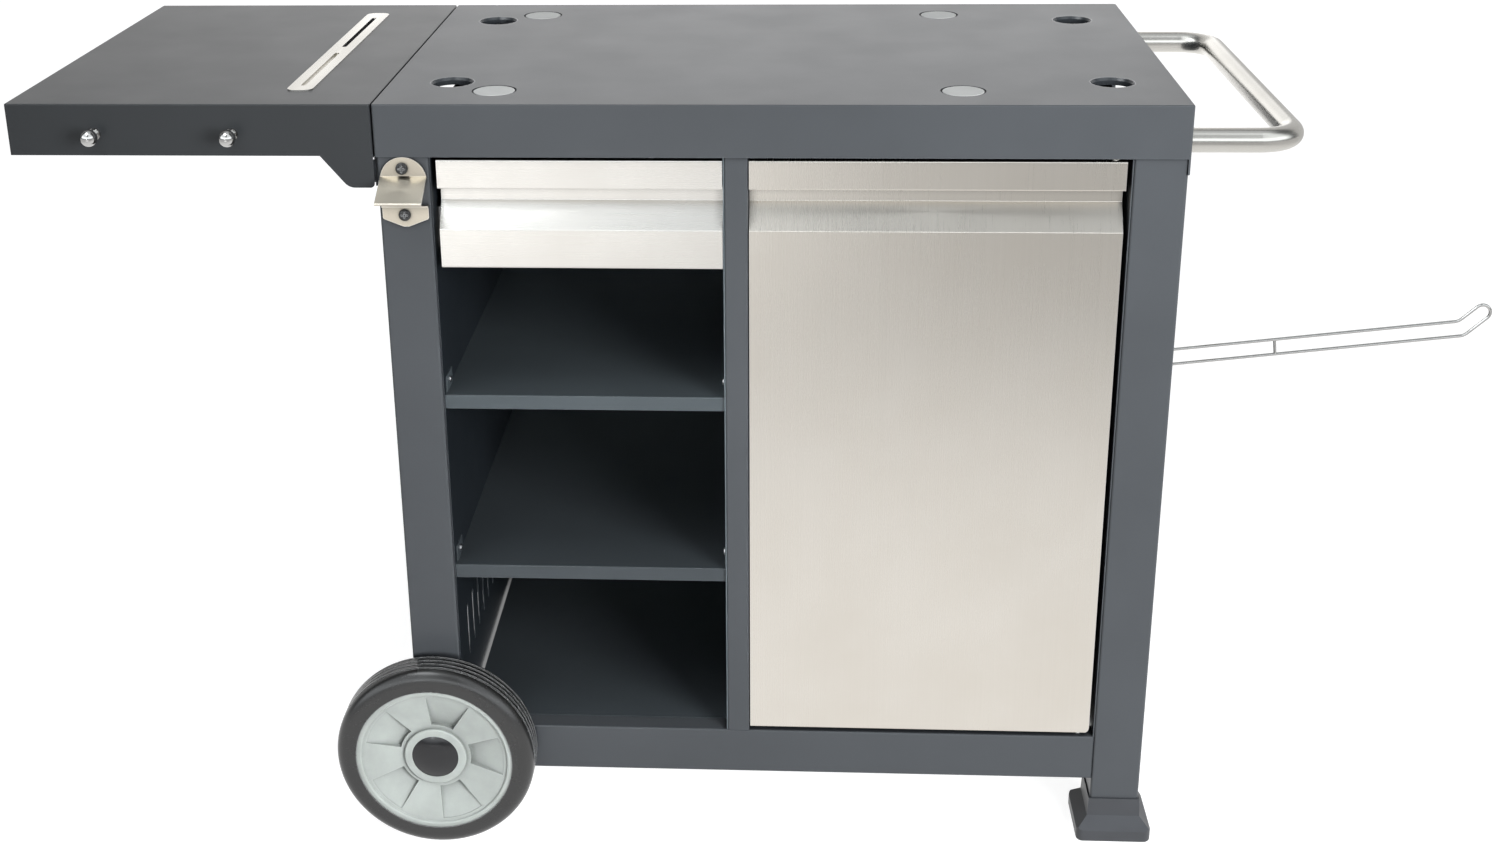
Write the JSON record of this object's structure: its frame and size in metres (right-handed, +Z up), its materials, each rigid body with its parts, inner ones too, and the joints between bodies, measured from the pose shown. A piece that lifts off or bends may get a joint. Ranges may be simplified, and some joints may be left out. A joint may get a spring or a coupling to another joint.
{
  "type": "griddle cart",
  "caption": "Wheeled steel cabinet cart that carries a tabletop flat top griddle, with open shelves, a drawer, a hinged door, a fold-down side shelf and a push handle.",
  "frame": {"origin": "on the floor, under the centre of the whole cart's outline with the side shelf up", "axes": "+X to the right towards the push handle, -X towards the side shelf, +Y to the back, -Y the front with the door and drawer, +Z up"},
  "size_m": [1.657, 0.625, 0.8797],
  "materials": {
    "painted_steel": "satin powder coat, charcoal",
    "stainless": "brushed",
    "chrome": "polished",
    "zinc_steel": "bright zinc plated",
    "black_screws": "black oxide",
    "black_plastic": "semi gloss",
    "foot_plastic": "matt",
    "pale_plastic": "matt",
    "nylon": "matt",
    "hub_plastic": "satin",
    "tyre": "matt"
  },
  "bodies": {
    "cabinet": {"worktop": "painted_steel", "front_left_leg": "painted_steel", "rear_left_leg": "painted_steel", "front_right_leg": "painted_steel", "rear_right_leg": "painted_steel", "bottom_rails": "painted_steel", "top_rails": "painted_steel", "side_rails": "painted_steel", "centre_mullion": "painted_steel", "left_side_panel": "painted_steel", "right_side_panel": "painted_steel", "back_panel": "painted_steel", "centre_partition": "painted_steel", "bottom_pan": "painted_steel", "upper_shelf": "painted_steel", "lower_shelf": "painted_steel", "shelf_brackets": "painted_steel", "towel_arm_plate": "painted_steel", "door_magnet_bracket": "painted_steel", "handle": "stainless", "bottle_opener": "stainless", "towel_arm": "chrome", "axle": "zinc_steel", "axle_spacers": "zinc_steel", "axle_retainers": "zinc_steel", "handle_fixings": "zinc_steel", "panel_screws": "zinc_steel", "towel_arm_screws": "zinc_steel", "slide_cabinet_members": "zinc_steel", "opener_screws": "black_screws", "frame_bolts": "black_screws", "foot_cups": "black_plastic", "pad_rings": "black_plastic", "door_magnet": "black_plastic", "right_feet": "foot_plastic", "worktop_pads": "pale_plastic", "door_bushes": "nylon"},
    "drawer": {"drawer_front": "stainless", "drawer_liner": "painted_steel", "drawer_box": "painted_steel", "slide_drawer_members": "zinc_steel"},
    "slide_carriage": {"slide_middle_members": "zinc_steel", "slide_balls": "zinc_steel"},
    "door": {"door_skin": "stainless", "door_liner": "painted_steel", "door_pins": "zinc_steel", "door_pin_blocks": "black_plastic", "door_strike": "zinc_steel"},
    "front_wheel": {"front_tyre": "tyre", "front_hub": "hub_plastic", "front_hub_cap": "black_plastic"},
    "rear_wheel": {"rear_tyre": "tyre", "rear_hub": "hub_plastic", "rear_hub_cap": "black_plastic"},
    "side_shelf": {"side_shelf_tray": "painted_steel", "slot_plate": "stainless", "hook_knobs": "chrome", "knob_nuts": "zinc_steel", "shelf_pivot_pins": "zinc_steel"}
  },
  "joints": [
    {"name": "drawer_slide", "type": "slide", "parent": "cabinet", "child": "drawer", "axis": [0, -1, 0], "range_m": [0, 0.38]},
    {"name": "slide_carriage_travel", "type": "slide", "parent": "cabinet", "child": "slide_carriage", "axis": [0, -1, 0], "range_m": [0, 0.19]},
    {"name": "door_hinge", "type": "hinge", "parent": "cabinet", "child": "door", "pos_m": [0.33202, -0.2515, 0.4757], "axis": [0, 0, 1], "range_deg": [0, 110]},
    {"name": "front_wheel_spin", "type": "hinge", "parent": "cabinet", "child": "front_wheel", "pos_m": [-0.40923, -0.2895, 0.115], "axis": [0, 1, 0], "continuous": true},
    {"name": "rear_wheel_spin", "type": "hinge", "parent": "cabinet", "child": "rear_wheel", "pos_m": [-0.40923, 0.2895, 0.115], "axis": [0, 1, 0], "continuous": true},
    {"name": "side_shelf_fold", "type": "hinge", "parent": "cabinet", "child": "side_shelf", "pos_m": [-0.46098, 0, 0.805], "axis": [0, -1, 0], "range_deg": [0, 90]}
  ],
  "couplings": [
    {"joint": "slide_carriage_travel", "follows": "drawer_slide", "ratio": 0.5}
  ]
}
